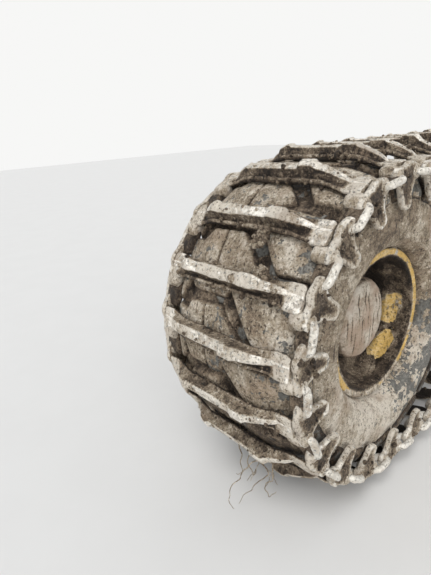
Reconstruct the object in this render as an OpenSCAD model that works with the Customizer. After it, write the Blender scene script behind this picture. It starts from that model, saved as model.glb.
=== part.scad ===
// Tracked bogie of a forestry machine: gear case, two wheels and a steel band track.
// +X runs along the bogie, +Y points inboard to the machine and +Z up.
// The origin is the centre of the axle's bolting face, on the bogie's swing axis.

/* [Bogie] */
// Distance between the two wheel centres
wheelbase = 1560; // [1520:10:1640]
// Distance from the axle's bolting face out to the wheels' middle plane
wheel_y = 800; // [800:5:860]

/* [Axle] */
// Radius of the bolting flange
flange_r = 230; // [220:5:260]
// Thickness of the bolting flange
flange_t = 30; // [24:2:40]
// Radius of the circle of flange bolts
flange_bolt_r = 200; // [195:1:205]
// Radius of a flange bolt hole
flange_hole_r = 11; // [8:1:13]
// Number of flange bolts
flange_bolts = 16; // [12:1:20]
// Radius of the axle tube that the bogie swings on
tube_r = 140; // [130:2:150]
// Radius of the recess in the bolting face
recess_r = 80; // [70:2:90]
// Depth of the recess in the bolting face
recess_h = 60; // [40:5:70]
// Radius of the drive shaft
shaft_r = 45; // [35:1:50]

/* [Case] */
// Thickness of the gear case across the bogie
case_t = 240; // [220:5:260]
// Radius of the case's ends, about the wheel centres
case_end_r = 185; // [170:5:200]
// Radius of the case's middle, about the swing axis
case_mid_r = 255; // [230:5:270]
// Gap between the tyres' inner sides and the case
case_gap = 25; // [20:1:40]
// Thickness of the bolted covers
cover_t = 22; // [16:1:30]

/* [Tyre] */
// Width of the tyre
tyre_w = 740; // [720:5:740]
// Outer diameter of the tyre over its lugs
tyre_d = 1490; // [1470:5:1495]
// Height of the lugs
lug_h = 38; // [20:1:45]
// Number of lug rows round the tyre
lug_rows = 14; // [12:1:15]
// Thickness of the tyre's wall
tyre_wall = 30; // [24:1:36]

/* [Rim and disc] */
// Radius of the rim's bead seat
seat_r = 337; // [335:1:340]
// Height of the rim's flange over the bead seat
rim_lip = 25; // [20:1:30]
// Width of the rim over its flanges
rim_w = 600; // [580:5:610]
// Thickness of the rim's wall
rim_t = 12; // [9:1:14]
// How far the disc's outer face lies outboard of the wheel's middle plane
disc_y = 60; // [30:5:80]
// Thickness of the disc
disc_t = 18; // [14:1:24]
// Number of wheel studs
stud_count = 12; // [8:1:16]
// Radius of the circle of wheel studs
stud_circle_r = 212.5; // [211:0.5:216]

/* [Hub] */
// Radius of the planetary cover that shows in the wheel's middle
cover_r = 185; // [176:1:186]
// How far the planetary cover's face lies outboard of the wheel's middle plane
cover_y = 224; // [180:2:240]
// Radius of the hub's drum behind the disc
drum_r = 205; // [190:1:215]
// Length of the hub's drum
drum_l = 190; // [160:5:200]

/* [Track] */
// Number of shoes in the track
shoe_count = 31; // [30:1:32]
// Radius of the chain links' line round a wheel
track_r = 697; // [695:1:705]
// Clear gap between the lugs and the shoes
track_gap = 6; // [5:0.5:10]
// Distance from the wheels' middle plane to the side plates' middle
side_y = 392; // [390:1:400]
// Width of a shoe's base plate, along the track
base_w = 88; // [80:2:96]
// Thickness of a shoe's base plate
base_t = 18; // [14:1:22]
// Radius from a wheel's centre out to the shoes' ribs
rib_r = 812; // [806:1:820]
// Width of a shoe's rib
rib_w = 54; // [44:2:60]
// Width of a shoe's flat ends, along the track
end_w = 110; // [100:2:116]
// How much nearer to the wheel a shoe's flat ends are than its middle
end_drop = 22; // [18:1:30]
// Thickness of a side plate
plate_t = 26; // [20:1:27]
// Radius of a side plate's ears
ear_r = 34; // [30:1:38]
// Thickness of a chain link's rod
link_d = 32; // [28:1:34]
// Distance between the two holes that a link passes through
link_pitch = 108; // [104:1:112]
// How far a side guide reaches in from the link line
guide_h = 140; // [100:5:150]

/* [Hidden] */
$fn = 64;
// Running clearance between round faces
fit = 0.3;
axle_x = wheelbase / 2;
tyre_r = tyre_d / 2;
tread_r = tyre_r - lug_h;
case_out = tyre_w / 2 + case_gap;
case_y0 = -wheel_y + case_out;
case_y1 = case_y0 + case_t;
swing_boss_t = 40;
pad_l = 260;
pad_z = case_mid_r + 6;
guard_l = 900;
guard_t = 12;
crown_w = 180;
lug_reach = 11;
// Thickness of the bosses that the links pass through
boss_t = 38;
// The spindle's nose carries the hub
nose_r = 90;
nose_l = 90;
lip_r = seat_r + rim_lip;

// Turns a shape drawn about Z so that it lies about the wheel's axis, Z pointing outboard
module outboard(y = 0) { translate([0, y, 0]) rotate([90, 0, 0]) children(); }

// Puts a wheel's piece at one end of the bogie, Z = 0 at the wheel's middle plane
module at_wheel(side) { translate([side * axle_x, 0, 0]) outboard(-wheel_y) children(); }

// Points of an arc about a centre on the X axis
function arc(x, r, from, to, steps) =
    [for (i = [0 : steps]) let (a = from + (to - from) * i / steps) [x + r * cos(a), r * sin(a)]];

// Flat outline of the gear case: a large round middle that tapers to two round ends
module case_outline(grow = 0)
{
    middle = case_mid_r + grow;
    end = case_end_r + grow;
    lean = acos((middle - end) / axle_x);
    polygon(concat(arc(axle_x, end, -lean, lean, 28), arc(0, middle, lean, 180 - lean, 4),
                   arc(-axle_x, end, 180 - lean, 180 + lean, 28), arc(0, middle, 180 + lean, 360 - lean, 4)));
}

// Ring of round holes or pins, about Z
module bolt_ring(count, ring_r, r, h) {
    for (i = [0 : count - 1]) rotate([0, 0, (i + 0.5) * 360 / count])
        translate([ring_r, 0, 0]) cylinder(r = r, h = h, $fn = 24);
}

// Axle

module axle_flange()
{
    color("dimgray") outboard() difference() {
        cylinder(r = flange_r, h = flange_t);
        translate([0, 0, -1]) cylinder(r = tube_r + fit, h = flange_t + 2);
        translate([0, 0, -1]) bolt_ring(flange_bolts, flange_bolt_r, flange_hole_r, flange_t + 2);
    }
}

module axle_tube()
{
    tube_l = -case_y1 + 80;
    color("dimgray") outboard() difference() {
        union() {
            cylinder(r = tube_r, h = tube_l);
            translate([0, 0, flange_t]) cylinder(r = tube_r + 20, h = 35);
        }
        translate([0, 0, -1]) cylinder(r = recess_r, h = recess_h + 1);
        translate([0, 0, -1]) cylinder(r = shaft_r + fit, h = tube_l + 2);
    }
}

module drive_shaft()
{
    color("silver") outboard(-recess_h) cylinder(r = shaft_r, h = -case_y1 + 20 - recess_h);
}

// Gear case

module bogie_case()
{
    rim_h = 30;
    rib = 14;
    color("darkslategray") difference() {
        union() {
            outboard(case_y1 - rim_h) linear_extrude(case_t - 2 * rim_h) case_outline(-rib);
            for (y = [case_y1, case_y0 + rim_h]) outboard(y) linear_extrude(rim_h) case_outline();
            translate([-pad_l / 2, case_y0 + 40, 0]) cube([pad_l, case_t - 80, pad_z]);
        }
        outboard(case_y1 + 1) cylinder(r = tube_r + 20, h = 100);
    }
}

module swing_housing()
{
    color("darkslategray") outboard(case_y1 + swing_boss_t) difference() {
        cylinder(r = tube_r + 60, h = swing_boss_t);
        translate([0, 0, -1]) cylinder(r = tube_r + fit, h = swing_boss_t + 2);
    }
}

module side_cover(side)
{
    color("dimgray") translate([side * axle_x, 0, 0]) outboard(case_y1 + cover_t) difference() {
        union() {
            cylinder(r = case_end_r - 30, h = cover_t);
            translate([0, 0, -16]) cylinder(r = case_end_r - 80, h = 17);
        }
        translate([0, 0, -1]) bolt_ring(12, case_end_r - 46, 7, 14);
    }
}

module top_cover()
{
    color("dimgray") translate([0, (case_y0 + case_y1) / 2, pad_z + 8])
        cube([pad_l, case_t - 90, 16], center = true);
}

module belly_guard()
{
    color("dimgray") outboard(case_y1 - 10) linear_extrude(case_t - 20) intersection() {
        difference() {
            case_outline(guard_t + fit);
            case_outline(fit);
        }
        translate([-guard_l / 2, -case_mid_r - 50]) square([guard_l, case_mid_r - 50]);
    }
}

module spindle(side)
{
    spindle_l = case_out - drum_l + disc_y - disc_t - 10;
    color("dimgray") translate([side * axle_x, 0, 0]) outboard(case_y0) {
        cylinder(r = case_end_r - 20, h = 24);
        cylinder(r = 140, h = spindle_l);
        cylinder(r = nose_r, h = spindle_l + nose_l);
    }
}

// Wheels

module tyre_section()
{
    half = tyre_w / 2;
    bead = rim_w / 2 - rim_t - 4;
    polygon([[seat_r + fit, bead], [seat_r + fit, bead - 50], [seat_r + 40, bead - 40],
             [seat_r + 110, half - tyre_wall - 8], [tread_r - 160, half - tyre_wall],
             [tread_r - 95, half - tyre_wall - 22], [tread_r - tyre_wall - 25, half - 90],
             [tread_r - tyre_wall, 0], [tread_r, 0], [tread_r, crown_w], [tread_r - 28, half - 70],
             [tread_r - 85, half - 20], [tread_r - 155, half], [seat_r + 125, half],
             [seat_r + 70, half - 20], [lip_r + 10, half - 50], [lip_r + 6, bead]]);
}

module tyre_body()
{
    rotate_extrude($fn = 96) union() {
        tyre_section();
        mirror([0, 1]) tyre_section();
    }
}

// Section that a lug fills: distance from the middle plane against distance from the axle.
// Its top is flat along the tread, so it is lowered for the lug's ends to stay on the tyre's radius.
module lug_section()
{
    half = tyre_w / 2;
    top = tyre_r * cos(lug_reach);
    upper = [[crown_w, top], [half - 80, top - 22], [half - 42, top - 58],
             [half - 11, top - 116], [half - 26, tread_r - 142]];
    lower = [[half - 60, tread_r - 130], [half - 80, tread_r - 60], [crown_w, tread_r - 20]];
    points = concat(upper, lower);
    polygon(concat(points, [for (i = [len(points) - 1 : -1 : 0]) [-points[i][0], points[i][1]]]));
}

// Lug outlines, each point as [distance from the middle plane, angle in degrees]
long_lug = [[8, -8.5], [120, -10.5], [380, -9.5], [380, 8.5], [205, 10]];
outer_centre_lug = [[-106, -10.8], [-20, -11], [128, 0.5], [40, 5], [10, 10.5], [-82, 10.5]];
inner_centre_lug = [[-192, -10.5], [-118, -10.7], [-94, 10.5], [-192, 10.5], [-285, 0.5]];
short_lug = [[-232, -10], [-380, -11], [-380, 10], [-322, 12], [-245, 6]];
// Each lug with the angle of its middle in a row
lugs = [[long_lug, 8.5], [outer_centre_lug, 19.2], [inner_centre_lug, 19.2], [short_lug, -2]];

module lug(outline)
{
    flat = [for (p = outline) [tyre_r * sin(p[1]), p[0]]];
    reach = tyre_r * sin(13);
    intersection() {
        rotate([90, 0, 90]) linear_extrude(tyre_r + 10) polygon(flat);
        rotate([90, 0, 0]) translate([0, 0, -reach]) linear_extrude(2 * reach)
            rotate([0, 0, -90]) lug_section();
    }
}

module tyre(side)
{
    color("gray") at_wheel(side) {
        tyre_body();
        for (i = [0 : lug_rows - 1], part = lugs) rotate([0, 0, i * 360 / lug_rows + part[1]])
            lug(part[0]);
    }
}

module rim(side)
{
    half = rim_w / 2;
    well = seat_r - 22;
    color("goldenrod") at_wheel(side) rotate_extrude($fn = 96) polygon([
        [lip_r, half], [lip_r, half - 10], [lip_r - 10, half - rim_t],
        [seat_r, half - rim_t - 2], [seat_r, half - 90], [well, half - 130],
        [well, -half + 130], [seat_r, -half + 90], [seat_r, -half + rim_t + 2],
        [lip_r - 10, -half + rim_t], [lip_r, -half + 10], [lip_r, -half],
        [lip_r - 14, -half - 2], [seat_r - rim_t, -half + 4], [seat_r - rim_t, -half + 92],
        [well - rim_t, -half + 134], [well - rim_t, half - 134], [seat_r - rim_t, half - 92],
        [seat_r - rim_t, half - 4], [lip_r - 14, half + 2]]);
}

module disc(side)
{
    disc_r = seat_r - 22 - rim_t - fit;
    color("goldenrod") at_wheel(side) translate([0, 0, disc_y - disc_t]) difference() {
        cylinder(r = disc_r, h = disc_t);
        translate([0, 0, -1]) cylinder(r = cover_r + 1, h = disc_t + 2);
        translate([0, 0, -1]) bolt_ring(8, 268, 24, disc_t + 2);
        translate([0, 0, -1]) bolt_ring(stud_count, stud_circle_r, 12.5, disc_t + 2);
    }
}

module nuts(side)
{
    color("gray") at_wheel(side) translate([0, 0, disc_y]) bolt_ring(stud_count, stud_circle_r, 17, 24);
}

module hub(side)
{
    color("dimgray") at_wheel(side) {
        translate([0, 0, disc_y - disc_t - 24]) cylinder(r = stud_circle_r + 22, h = 24);
        translate([0, 0, disc_y - disc_t - drum_l]) difference() {
            cylinder(r = drum_r, h = drum_l);
            translate([0, 0, -1]) cylinder(r = nose_r + fit, h = nose_l + 1);
        }
        translate([0, 0, disc_y - disc_t]) bolt_ring(stud_count, stud_circle_r, 12, disc_t);
    }
}

module hub_cover(side)
{
    color("gray") at_wheel(side) {
        translate([0, 0, disc_y - disc_t]) cylinder(r = cover_r, h = cover_y - disc_y + disc_t - 30);
        translate([0, 0, cover_y - 30]) cylinder(r1 = cover_r, r2 = cover_r - 10, h = 20);
        translate([0, 0, cover_y - 10]) cylinder(r1 = cover_r - 10, r2 = cover_r - 36, h = 10);
    }
}

// Track

loop_l = 2 * wheelbase + 2 * PI * track_r;
shoe_pitch = loop_l / shoe_count;
hole_x = (shoe_pitch - link_pitch) / 2;
half_turn = PI * track_r;

// Place on the loop at a length from the front wheel's top: x, z and heading
function loop_at(s) =
    s < half_turn ? arc_at(s / track_r * 180 / PI, -axle_x, 90) :
    s < half_turn + wheelbase ? [-axle_x + s - half_turn, -track_r, 0] :
    s < 2 * half_turn + wheelbase ? arc_at((s - half_turn - wheelbase) / track_r * 180 / PI, axle_x, -90) :
    [axle_x - (s - 2 * half_turn - wheelbase), track_r, 180];
function arc_at(a, x, start) =
    [x + track_r * cos(start + a), track_r * sin(start + a), start + a + 90];

// Heights over the link line: under a bar, on its flat ends and on its rib
bar_z = tyre_r + track_gap - track_r;
end_z = bar_z + base_t - end_drop;
rib_z = rib_r - track_r;
// Places across the track: where a bar's flat middle stops, where its flat end starts and where it stops
flat_y = 200;
end_y = 285;
bar_y = side_y - 20;

// Height of the side plates' outer edge, a step below the bars' flat ends
plate_z = end_z - 14;

// Half of the bent base plate, from the middle out into the side plate
module base_plate()
{
    rotate([90, 0, 90]) translate([0, 0, -base_w / 2]) linear_extrude(base_w) polygon([
        [0, bar_z], [flat_y, bar_z], [end_y, end_z - base_t], [bar_y - 8, end_z - base_t],
        [bar_y - 8, plate_z - base_t], [side_y, plate_z - base_t], [side_y, plate_z], [bar_y, plate_z],
        [bar_y, end_z], [end_y, end_z], [flat_y, bar_z + base_t], [0, bar_z + base_t]]);
}

module flat_end()
{
    corner = 10;
    translate([0, 0, end_z - base_t]) linear_extrude(base_t) polygon([
        [-base_w / 2, end_y], [-end_w / 2, end_y + 2 * corner], [-end_w / 2, bar_y - corner],
        [-end_w / 2 + corner, bar_y], [end_w / 2 - corner, bar_y], [end_w / 2, bar_y - corner],
        [end_w / 2, end_y + 2 * corner], [base_w / 2, end_y]]);
}

// Rib with a tapered nose at each end, lying nearer to one edge of the base plate
module rib()
{
    side = base_w / 2 - 6;
    nose_y = end_y + 15;
    nose_w = 12;
    intersection() {
        rotate([90, 0, 90]) translate([0, 0, -base_w / 2]) linear_extrude(base_w) polygon([
            [-nose_y, end_z - 4], [-nose_y, end_z + 6], [-flat_y + 10, rib_z], [flat_y - 10, rib_z],
            [nose_y, end_z + 6], [nose_y, end_z - 4], [flat_y, bar_z + 4], [-flat_y, bar_z + 4]]);
        linear_extrude(rib_z + 1) polygon([
            [side, -flat_y], [side - nose_w, -nose_y], [side - rib_w + nose_w, -nose_y], [side - rib_w, -flat_y],
            [side - rib_w, flat_y], [side - rib_w + nose_w, nose_y], [side - nose_w, nose_y], [side, flat_y]]);
    }
}

module bar()
{
    lip_w = 14;
    for (turn = [0, 1]) mirror([0, turn, 0]) {
        base_plate();
        flat_end();
    }
    rib();
    translate([-base_w / 2, -flat_y, bar_z]) cube([lip_w, 2 * flat_y, base_t + 8]);
}

module side_plate()
{
    ear = arc(hole_x, ear_r, -90, 80, 6);
    rotate([90, 0, 0]) translate([0, 0, -plate_t / 2]) linear_extrude(plate_t)
        polygon(concat([[16, -guide_h], [34, -guide_h + 20], [base_w / 2, -guide_h / 2]], ear,
                       [[base_w / 2 - 2, plate_z + 12], [10, plate_z + 12], [-4, plate_z],
                        [-base_w / 2 + 6, plate_z]],
                       [for (i = [len(ear) - 1 : -1 : 0]) [-ear[i][0], ear[i][1]]],
                       [[-base_w / 2, -guide_h / 2], [-34, -guide_h + 20], [-16, -guide_h]]));
    for (x = [-hole_x, hole_x]) rotate([90, 0, 0]) translate([0, 0, -boss_t / 2])
        linear_extrude(boss_t) polygon(arc(x, ear_r - 5, 15, 345, 11));
}

// Ring that passes through the holes of two side plates
module link()
{
    bend_r = 20;
    leg_y = plate_t / 2 + 1 + link_d / 2;
    corner_r = bend_r + link_d / 2;
    corner = [for (a = arc(link_pitch / 2 - bend_r, corner_r, 0, 90, 4)) [a[0], a[1] + leg_y - bend_r]];
    half = concat(corner, [for (i = [len(corner) - 1 : -1 : 0]) [-corner[i][0], corner[i][1]]]);
    translate([0, 0, -link_d / 2]) linear_extrude(link_d) difference() {
        polygon(concat(half, [for (i = [len(half) - 1 : -1 : 0]) [half[i][0], -half[i][1]]]));
        square([link_pitch - link_d, 2 * leg_y - link_d], center = true);
    }
}

// Puts a piece on the loop: X along the track, Z away from the wheels
module on_loop(s)
{
    at = loop_at(s);
    translate([at[0], -wheel_y, at[1]]) rotate([0, -at[2] + 180, 0]) children();
}

module track()
{
    first = 40;
    color("tan") for (i = [0 : shoe_count - 1]) {
        on_loop(first + i * shoe_pitch) {
            bar();
            for (y = [-side_y, side_y]) translate([0, y, 0]) side_plate();
        }
        on_loop((first + (i + 0.5) * shoe_pitch) % loop_l)
            for (y = [-side_y, side_y]) translate([0, y, 0]) link();
    }
}

axle_flange();
axle_tube();
drive_shaft();
bogie_case();
swing_housing();
side_cover(-1);  // front_side_cover
side_cover(1);  // rear_side_cover
top_cover();
belly_guard();
spindle(-1);  // front_spindle
spindle(1);  // rear_spindle
track();
tyre(-1);  // front_tyre
rim(-1);  // front_rim
disc(-1);  // front_disc
hub(-1);  // front_hub
hub_cover(-1);  // front_hub_cover
nuts(-1);  // front_nuts
tyre(1);  // rear_tyre
rim(1);  // rear_rim
disc(1);  // rear_disc
hub(1);  // rear_hub
hub_cover(1);  // rear_hub_cover
nuts(1);  // rear_nuts
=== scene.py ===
# Looks of the tracked bogie: muddy lugged tyres inside a steel band track, worn rims and a painted gear case.
# All lengths are in metres, in the part's own frame.
from itertools import combinations
from math import cos, pi, radians, sin, sqrt

import bpy
import numpy as np
from mathutils import Matrix, Vector
from mathutils.geometry import delaunay_2d_cdt


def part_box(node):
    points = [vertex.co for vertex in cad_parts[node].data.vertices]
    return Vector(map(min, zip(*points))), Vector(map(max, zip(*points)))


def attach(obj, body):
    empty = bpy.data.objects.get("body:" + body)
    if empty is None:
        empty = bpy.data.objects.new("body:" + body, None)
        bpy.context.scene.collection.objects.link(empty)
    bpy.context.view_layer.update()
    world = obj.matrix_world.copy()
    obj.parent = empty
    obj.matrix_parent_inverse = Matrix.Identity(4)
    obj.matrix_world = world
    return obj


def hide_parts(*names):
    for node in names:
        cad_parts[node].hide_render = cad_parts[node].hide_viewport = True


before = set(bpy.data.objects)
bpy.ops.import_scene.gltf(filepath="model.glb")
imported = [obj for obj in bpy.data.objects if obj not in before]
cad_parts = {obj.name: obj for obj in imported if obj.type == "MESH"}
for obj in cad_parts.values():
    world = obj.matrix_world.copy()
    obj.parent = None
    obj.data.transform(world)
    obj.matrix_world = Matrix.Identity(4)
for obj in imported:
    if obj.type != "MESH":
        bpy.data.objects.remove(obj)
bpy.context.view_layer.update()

# Sizes that the part's source names
WHEEL_Y = -0.8
SEAT_R = 0.337
LIP_R = 0.362
RIM_W = 0.6
RIM_T = 0.012
TREAD_R = 0.707
TYRE_HALF = 0.37
CROWN_W = 0.18
LUG_ROWS = 14
LINK_R = 0.697
TYRE_R = 0.745
TRACK_GAP = 0.006
RIB_R = 0.812
BASE_T = 0.018
END_DROP = 0.022
SIDE_Y = 0.392
PLATE_T = 0.026
EAR_R = 0.034
LINK_D = 0.032
LINK_PITCH = 0.108
BOSS_T = 0.038
GUIDE_H = 0.14
SHOES = 31
FIRST_SHOE = 0.04
DISC_Y = 0.06
STUD_R = 0.2125
COVER_R = 0.185
COVER_Y = 0.224


def middle(node):
    low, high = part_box(node)
    return (low + high) / 2


AXLE_X = middle("rear_rim").x
GROUND_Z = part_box("track")[0].z


# Noise

LATTICE = np.random.default_rng(7).permutation(256)
# Turns points so that the lattice of the noise doesn't line up with a piece's edges
ASKEW = np.array(Matrix.Rotation(radians(38), 3, Vector((0.6, 0.9, 0.4))))


def value_noise(points, scale, seed):
    """Smooth noise in -1..1 at each point."""
    p = np.asarray(points, float) * scale + 31.7 * seed + 512.0
    cell = np.floor(p).astype(int)
    f = p - cell
    f = f * f * (3 - 2 * f)
    total = np.zeros(len(p))
    for dx in (0, 1):
        for dy in (0, 1):
            for dz in (0, 1):
                weight = (f[:, 0] if dx else 1 - f[:, 0]) * (f[:, 1] if dy else 1 - f[:, 1])
                weight = weight * (f[:, 2] if dz else 1 - f[:, 2])
                h = LATTICE[(cell[:, 0] + dx) & 255]
                h = LATTICE[(h + cell[:, 1] + dy) & 255]
                h = LATTICE[(h + cell[:, 2] + dz) & 255]
                total += weight * h
    return total / 127.5 - 1


def fbm(points, scale, octaves, seed):
    """Sum of octaves of noise, about -1..1."""
    total = np.zeros(len(points))
    for k in range(octaves):
        total += value_noise(points, scale * 2.03**k, seed + k) * 0.5**k
    return total / (2 - 0.5 ** (octaves - 1)) * 1.25


def ramp(x, low, high):
    """Smooth step from 0 at low to 1 at high."""
    t = np.clip((np.asarray(x, float) - low) / (high - low), 0, 1)
    return t * t * (3 - 2 * t)


# Meshes

class Shape:
    """Gathers points and faces, with two values a point that its material reads.

    tone runs from 0, dark, to 1, pale: mostly wet mud against dry mud, and in places painted shade. bare runs
    from 0, mud, to 1, clean.
    """

    def __init__(self):
        self.points, self.quads, self.tris, self.tone, self.bare = [], [], [], [], []
        self.count = 0

    def add(self, points, quads=(), tris=(), tone=0.5, bare=0.0):
        points = np.asarray(points, float).reshape(-1, 3)
        n = len(points)
        self.points.append(points)
        self.quads.append(np.asarray(quads, int).reshape(-1, 4) + self.count)
        self.tris.append(np.asarray(tris, int).reshape(-1, 3) + self.count)
        self.tone.append(np.broadcast_to(np.asarray(tone, float), (n,)))
        self.bare.append(np.broadcast_to(np.asarray(bare, float), (n,)))
        self.count += n
        return self

    def build(self, name, material, sharp):
        points = np.concatenate(self.points)
        quads = np.concatenate(self.quads)
        tris = np.concatenate(self.tris)
        mesh = bpy.data.meshes.new(name)
        mesh.vertices.add(len(points))
        mesh.vertices.foreach_set("co", points.ravel())
        mesh.loops.add(quads.size + tris.size)
        mesh.loops.foreach_set("vertex_index", np.concatenate([quads.ravel(), tris.ravel()]))
        mesh.polygons.add(len(quads) + len(tris))
        starts = np.concatenate([np.arange(len(quads)) * 4, quads.size + np.arange(len(tris)) * 3])
        mesh.polygons.foreach_set("loop_start", starts)
        mesh.update(calc_edges=True)
        mesh.validate()
        for key, values in (("tone", self.tone), ("bare", self.bare)):
            layer = mesh.attributes.new(key, "FLOAT", "POINT")
            layer.data.foreach_set("value", np.concatenate(values))
        mesh.polygons.foreach_set("use_smooth", np.ones(len(mesh.polygons), bool))
        mesh.set_sharp_from_angle(angle=radians(sharp))
        mesh.materials.append(material)
        return in_scene(name, mesh)


def in_scene(name, data):
    """New object in the scene."""
    thing = bpy.data.objects.new(name, data)
    bpy.context.scene.collection.objects.link(thing)
    return thing


def faced(faces, flip):
    """Faces, turned inside out where a piece is mirrored."""
    return faces[:, ::-1] if flip else faces


def circle(count):
    """Even angles of a full turn."""
    return np.arange(count) * 2 * pi / count


def grid_quads(rows, cols):
    """Faces of a grid of points stored row by row, each row closed to a ring."""
    i, j = np.meshgrid(np.arange(rows - 1), np.arange(cols), indexing="ij")
    k = (j + 1) % cols
    corners = [i * cols + j, i * cols + k, (i + 1) * cols + k, (i + 1) * cols + j]
    return np.stack(corners, -1).reshape(-1, 4)


def revolved(profile, columns):
    """A profile's rows of values repeated round an axis, then the angle of each point, and the faces."""
    rings = len(profile[0])
    repeated = [np.repeat(values, columns) for values in profile]
    return (*repeated, np.tile(circle(columns), rings), grid_quads(rings, columns))


def xyz(x, y, z):
    """Points from their coordinates."""
    return np.stack(np.broadcast_arrays(x, y, z), -1)


def round_y(radius, y, angle):
    """Points round the Y axis, their angles from +X towards +Z."""
    return xyz(radius * np.cos(angle), y, radius * np.sin(angle))


def on_wheel(side, radius, w, angle):
    """Points round a wheel's axis, w outboard of its middle plane."""
    return round_y(radius, WHEEL_Y - w, angle) + (side * AXLE_X, 0, 0)


def unit(vectors):
    """Vectors cut to length 1."""
    return vectors / np.linalg.norm(vectors, axis=-1, keepdims=True)


def to_left(vectors):
    """Flat vectors turned a quarter anticlockwise."""
    return np.stack([-vectors[:, 1], vectors[:, 0]], -1)


def smooth_line(points, step, soft):
    """Evenly spaced points on a polyline whose corners are softened over a length."""
    points = np.asarray(points, float)
    fine = 0.001
    lengths = np.concatenate([[0], np.cumsum(np.hypot(*np.diff(points, axis=0).T))])
    at = np.arange(0, lengths[-1], fine)
    line = np.stack([np.interp(at, lengths, points[:, k]) for k in (0, 1)], -1)
    reach = int(soft / fine)
    kernel = np.hanning(2 * reach + 3)
    kernel /= kernel.sum()
    padded = np.concatenate([2 * line[0] - line[reach + 1:0:-1], line, 2 * line[-1] - line[-2:-reach - 3:-1]])
    soft_line = np.stack([np.convolve(padded[:, k], kernel, "valid") for k in (0, 1)], -1)
    pick = np.round(np.linspace(0, len(soft_line) - 1, max(2, int(lengths[-1] / step)))).astype(int)
    return soft_line[pick]


def inset_ring(outline, distance, radius, step):
    """Closed outline (it runs anticlockwise) moved inwards, its corners cut to curves.

    The number of points depends on the outline alone, so that rings at several distances join up.
    """
    edge = np.roll(outline, -1, 0) - outline
    length = np.linalg.norm(edge, axis=1)
    normal = to_left(edge) / length[:, None]
    before = np.roll(normal, 1, 0)
    corners = outline + distance * (normal + before) / (1 + (normal * before).sum(1))[:, None]
    run = np.roll(corners, -1, 0) - corners
    reach = np.linalg.norm(run, axis=1)
    run = run / reach[:, None]
    cut = np.minimum(radius, 0.4 * np.minimum(reach, np.roll(reach, 1)))
    line = []
    for i, corner in enumerate(corners):
        after = (i + 1) % len(corners)
        back, start = corner - run[i - 1] * cut[i], corner + run[i] * cut[i]
        stop = corners[after] - run[i] * cut[after]
        bends = 5 if min(length[i - 1], length[i]) > 2 * radius else 2
        for s in np.linspace(0, 1, bends):
            line.append((1 - s) ** 2 * back + 2 * s * (1 - s) * corner + s * s * start)
        count = int(max(0, length[i] - 2 * radius) / step)
        line += [start + (stop - start) * s / (count + 1) for s in range(1, count + 1)]
    return np.array(line)


def anticlockwise(outline):
    outline = np.asarray(outline, float)
    x, y = outline.T
    area = np.sum(x * np.roll(y, -1) - y * np.roll(x, -1))
    return outline if area > 0 else outline[::-1]


def fill(outline, spacing):
    """A closed outline's points with more points inside it, and the triangles between them all."""
    low, high = outline.min(0), outline.max(0)
    x, y = np.meshgrid(np.arange(low[0], high[0], spacing), np.arange(low[1], high[1], spacing))
    x = x + (np.arange(len(x)) % 2)[:, None] * spacing / 2
    grid = np.stack([x.ravel(), y.ravel()], -1)
    ahead = np.roll(outline, -1, 0)
    gap = grid[:, None] - outline[None]
    edge = ahead - outline
    along = np.clip((gap * edge).sum(-1) / (edge ** 2).sum(-1), 0, 1)
    near = np.linalg.norm(gap - along[..., None] * edge, axis=-1).min(1)
    crosses = (outline[:, 1] > grid[:, 1:]) != (ahead[:, 1] > grid[:, 1:])
    safe = np.where(edge[:, 1] == 0, 1, edge[:, 1])
    reach = outline[:, 0] + (grid[:, 1:] - outline[:, 1]) * edge[:, 0] / safe
    inside = (crosses & (grid[:, :1] < reach)).sum(1) % 2 == 1
    every = np.concatenate([outline, grid[inside & (near > spacing * 0.6)]])
    count = len(outline)
    ring = [(k, (k + 1) % count) for k in range(count)]
    _, _, faces, first, *_ = delaunay_2d_cdt([Vector(p) for p in every], ring, [list(range(count))], 1, 1e-7)
    return every, np.array([[first[k][0] for k in face] for face in faces])


# Materials

class Nodes:
    """The node tree of a material or a world, with short calls for the nodes that the recipes use."""

    def __init__(self, owner):
        owner.use_nodes = True
        self.tree = owner.node_tree
        self.tree.nodes.clear()

    def add(self, kind, **settings):
        node = self.tree.nodes.new(kind)
        for key, value in settings.items():
            setattr(node, key, value)
        return node

    def join(self, value, socket):
        if isinstance(value, bpy.types.NodeSocket):
            self.tree.links.new(value, socket)
        else:
            socket.default_value = value

    def math(self, operation, a, b=0.0):
        node = self.add("ShaderNodeMath", operation=operation)
        self.join(a, node.inputs[0])
        self.join(b, node.inputs[1])
        return node.outputs[0]


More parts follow.
